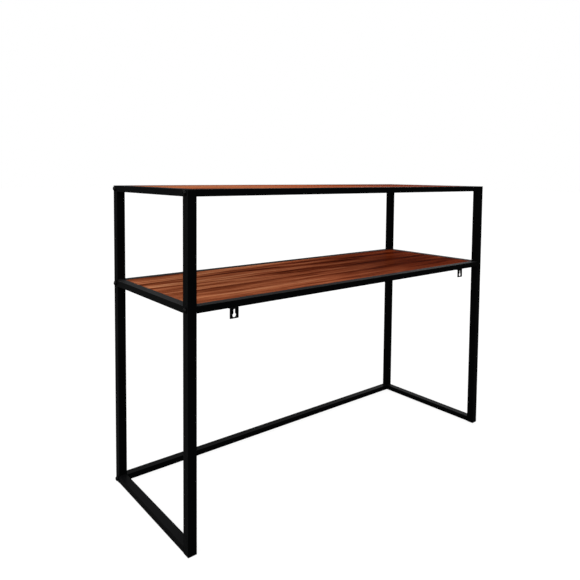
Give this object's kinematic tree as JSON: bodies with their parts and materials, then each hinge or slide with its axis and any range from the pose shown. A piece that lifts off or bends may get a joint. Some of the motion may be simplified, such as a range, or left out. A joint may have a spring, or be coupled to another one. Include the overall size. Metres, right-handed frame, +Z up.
{
  "type": "console table",
  "caption": "Narrow two-tier console table: black square-tube end frames joined by bolted rails, with inset red-brown wood-grain top and lower shelf.",
  "frame": {"origin": "on the floor, under the middle of the table", "axes": "+X along the length, to the right seen from the front; +Y towards the rear; +Z up"},
  "size_m": [1.1104, 0.4, 0.8],
  "materials": {
    "frame_black": "satin black powder coat with a fine orange-peel texture",
    "wood_board": "low-sheen red-brown wood-grain surface, grain along the length",
    "cap_plastic": "moulded black plastic, matte",
    "bolt_black": "black-plated steel, semi-gloss",
    "zinc_steel": "zinc-plated steel"
  },
  "bodies": {
    "root": {"floor_rear_stretcher": "frame_black", "left_bolt_washers": "bolt_black", "left_floor_rail": "frame_black", "left_frame_bolts": "bolt_black", "left_front_foot_cap": "cap_plastic", "left_front_post": "frame_black", "left_front_top_cap": "cap_plastic", "left_keyhole_bracket": "frame_black", "left_rail_plug_nuts": "zinc_steel", "left_rear_foot_cap": "cap_plastic", "left_rear_post": "frame_black", "left_rear_top_cap": "cap_plastic", "left_shelf_rail": "frame_black", "left_top_rail": "frame_black", "right_bolt_washers": "bolt_black", "right_floor_rail": "frame_black", "right_frame_bolts": "bolt_black", "right_front_foot_cap": "cap_plastic", "right_front_post": "frame_black", "right_front_top_cap": "cap_plastic", "right_keyhole_bracket": "frame_black", "right_rail_plug_nuts": "zinc_steel", "right_rear_foot_cap": "cap_plastic", "right_rear_post": "frame_black", "right_rear_top_cap": "cap_plastic", "right_shelf_rail": "frame_black", "right_top_rail": "frame_black", "shelf_board": "wood_board", "shelf_board_screws": "zinc_steel", "shelf_board_tabs": "frame_black", "shelf_front_rail": "frame_black", "shelf_rear_rail": "frame_black", "top_board": "wood_board", "top_board_screws": "zinc_steel", "top_board_tabs": "frame_black", "top_front_rail": "frame_black", "top_rear_rail": "frame_black"}
  },
  "joints": []
}
